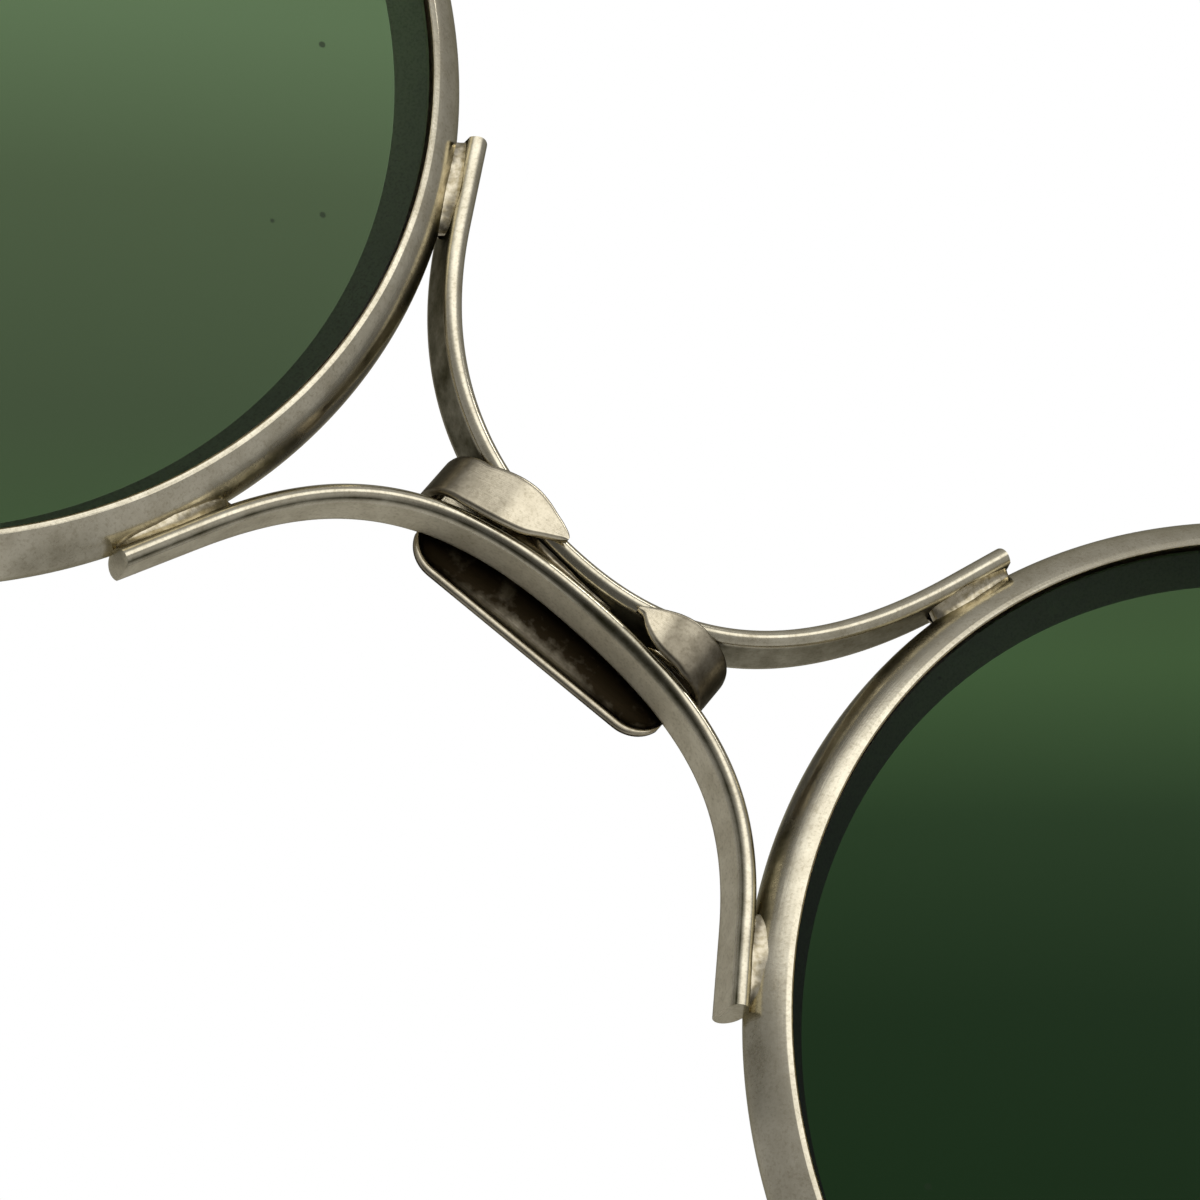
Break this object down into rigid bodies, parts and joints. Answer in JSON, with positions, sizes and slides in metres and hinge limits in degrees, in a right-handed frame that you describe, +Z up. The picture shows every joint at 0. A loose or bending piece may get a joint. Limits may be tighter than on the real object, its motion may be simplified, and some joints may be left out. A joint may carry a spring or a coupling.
{
  "type": "metal frame sunglasses",
  "caption": "Round metal frame sunglasses with green glass lenses in split rims, a double-wire bridge with a folded sheet nose saddle, and side arms that fold in on screw hinges.",
  "frame": {"origin": "bottom centre of the open sunglasses, on the surface that the rims and the temple tips stand on", "axes": "+Z up, -Y out of the front of the lenses, +X to the wearer's left"},
  "size_m": [0.1326, 0.1318, 0.0464],
  "materials": {
    "nickel_silver": "satin, aged",
    "screw_steel": "satin",
    "green_glass": "polished",
    "brown_plastic": "gloss"
  },
  "bodies": {
    "front": {"rim_left": "nickel_silver", "rim_right": "nickel_silver", "lens_left": "green_glass", "lens_right": "green_glass", "bridge_wire_upper": "nickel_silver", "bridge_wire_lower": "nickel_silver", "nose_saddle": "nickel_silver", "endpiece_left": "nickel_silver", "endpiece_right": "nickel_silver", "closing_block_left": "nickel_silver", "closing_block_right": "nickel_silver", "closing_screw_left": "screw_steel", "closing_screw_right": "screw_steel", "front_hinge_left": "nickel_silver", "front_hinge_right": "nickel_silver", "hinge_screw_left": "screw_steel", "hinge_screw_right": "screw_steel"},
    "temple_left": {"temple_hinge_left": "nickel_silver", "temple_arm_left": "nickel_silver", "temple_tip_left": "brown_plastic"},
    "temple_right": {"temple_hinge_right": "nickel_silver", "temple_arm_right": "nickel_silver", "temple_tip_right": "brown_plastic"}
  },
  "joints": [
    {"name": "temple_left_fold", "type": "hinge", "parent": "front", "child": "temple_left", "pos_m": [0.0632, -0.06044, 0.02445], "axis": [0, 0, 1], "range_deg": [0, 90]},
    {"name": "temple_right_fold", "type": "hinge", "parent": "front", "child": "temple_right", "pos_m": [-0.0632, -0.06044, 0.02445], "axis": [0, 0, -1], "range_deg": [0, 84]}
  ]
}
